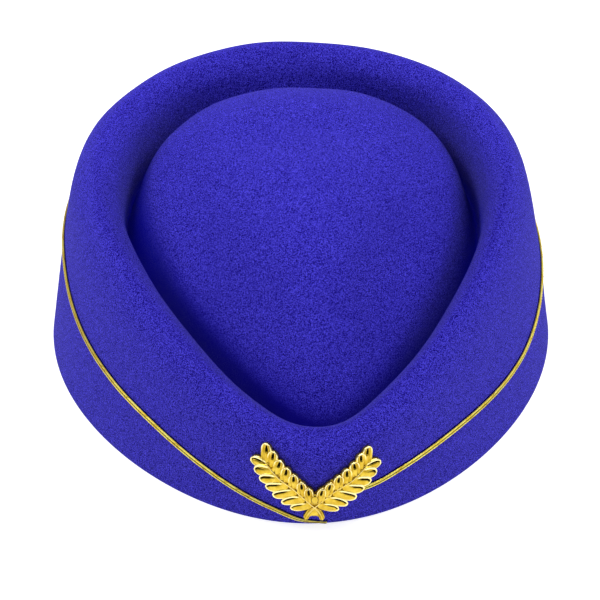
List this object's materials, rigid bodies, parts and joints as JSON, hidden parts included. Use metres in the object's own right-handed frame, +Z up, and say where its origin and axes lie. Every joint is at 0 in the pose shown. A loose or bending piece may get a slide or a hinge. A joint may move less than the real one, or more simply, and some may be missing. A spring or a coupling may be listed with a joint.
{
  "type": "flight attendant hat",
  "caption": "Blocked felt uniform hat, hollow and open below, with a teardrop crown inside a rolled rim, a thin gold trim cord and a gilt laurel badge at the front.",
  "frame": {"origin": "under the middle of the whole hat, on the plane of the opening's edge", "axes": "+Z up from the opening to the crown, +Y towards the back of the head, so the badge faces -Y, and +X to the right as seen from the front"},
  "size_m": [0.1786, 0.1938, 0.0721],
  "materials": {
    "felt": "violet-blue wool felt with a short soft nap",
    "gold_thread": "braided metallic gold thread",
    "gilt": "polished gilt casting, darker in its hollows",
    "steel": "plain nickel-coloured steel"
  },
  "bodies": {
    "root": {"felt_body": "felt", "gold_cord": "gold_thread", "wreath_badge": "gilt", "pin_clutch": "steel"}
  },
  "joints": []
}
